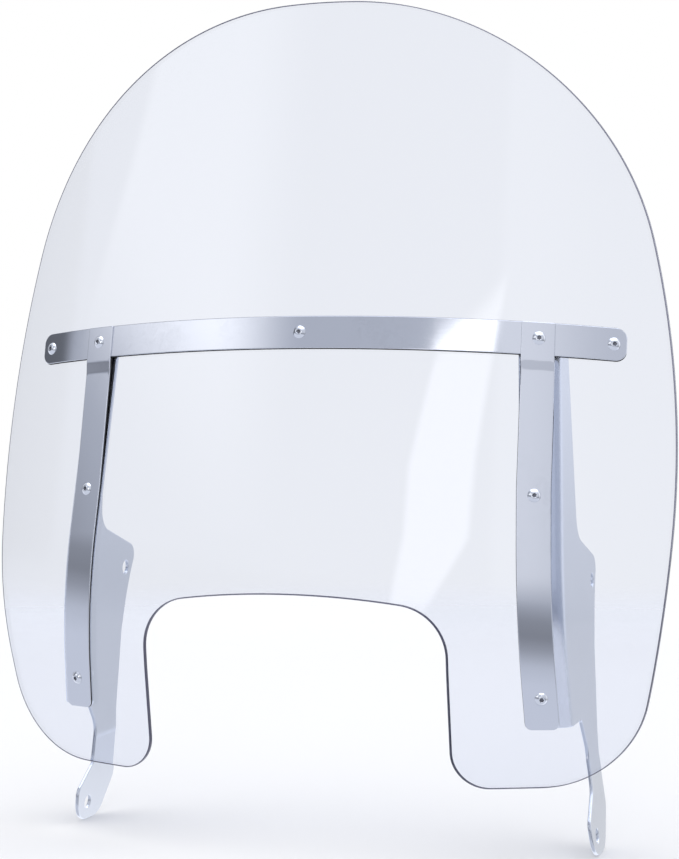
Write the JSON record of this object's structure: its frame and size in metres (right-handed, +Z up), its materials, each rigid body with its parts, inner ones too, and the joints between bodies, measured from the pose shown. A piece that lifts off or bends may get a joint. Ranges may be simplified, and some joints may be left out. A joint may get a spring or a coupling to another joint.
{
  "type": "motorcycle windshield",
  "caption": "Clear curved motorcycle windshield with a lamp notch, a polished brace bar and straps, and side brackets with bolt holes for the fork.",
  "frame": {"origin": "midway between the two lower mounting holes, on their common axis", "axes": "+X to the rider's left, which is the viewer's right when the screen is seen from the front, +Y to the rear, +Z up; the front faces -Y"},
  "size_m": [0.566, 0.1751, 0.6719],
  "materials": {
    "clear_sheet": "clear, faintly blue polycarbonate sheet",
    "polished_strip": "polished stainless steel strip",
    "bracket_plate": "bright plated steel plate",
    "fasteners": "bright plated steel",
    "gasket_tape": "black tape"
  },
  "bodies": {
    "root": {"screen": "clear_sheet", "brace_bar": "polished_strip", "brace_tape": "gasket_tape", "left_strap": "polished_strip", "right_strap": "polished_strip", "left_strap_tape": "gasket_tape", "right_strap_tape": "gasket_tape", "left_bracket": "bracket_plate", "right_bracket": "bracket_plate", "left_bracket_tape": "gasket_tape", "right_bracket_tape": "gasket_tape", "screw_centre": "fasteners", "washer_centre": "fasteners", "nut_centre": "fasteners", "screw_outer_left": "fasteners", "washer_outer_left": "fasteners", "nut_outer_left": "fasteners", "screw_outer_right": "fasteners", "washer_outer_right": "fasteners", "nut_outer_right": "fasteners", "screw_top_left": "fasteners", "washer_top_left": "fasteners", "nut_top_left": "fasteners", "screw_top_right": "fasteners", "washer_top_right": "fasteners", "nut_top_right": "fasteners", "screw_mid_left": "fasteners", "washer_mid_left": "fasteners", "nut_mid_left": "fasteners", "screw_mid_right": "fasteners", "washer_mid_right": "fasteners", "nut_mid_right": "fasteners", "screw_low_left": "fasteners", "washer_low_left": "fasteners", "nut_low_left": "fasteners", "screw_low_right": "fasteners", "washer_low_right": "fasteners", "nut_low_right": "fasteners"}
  },
  "joints": []
}
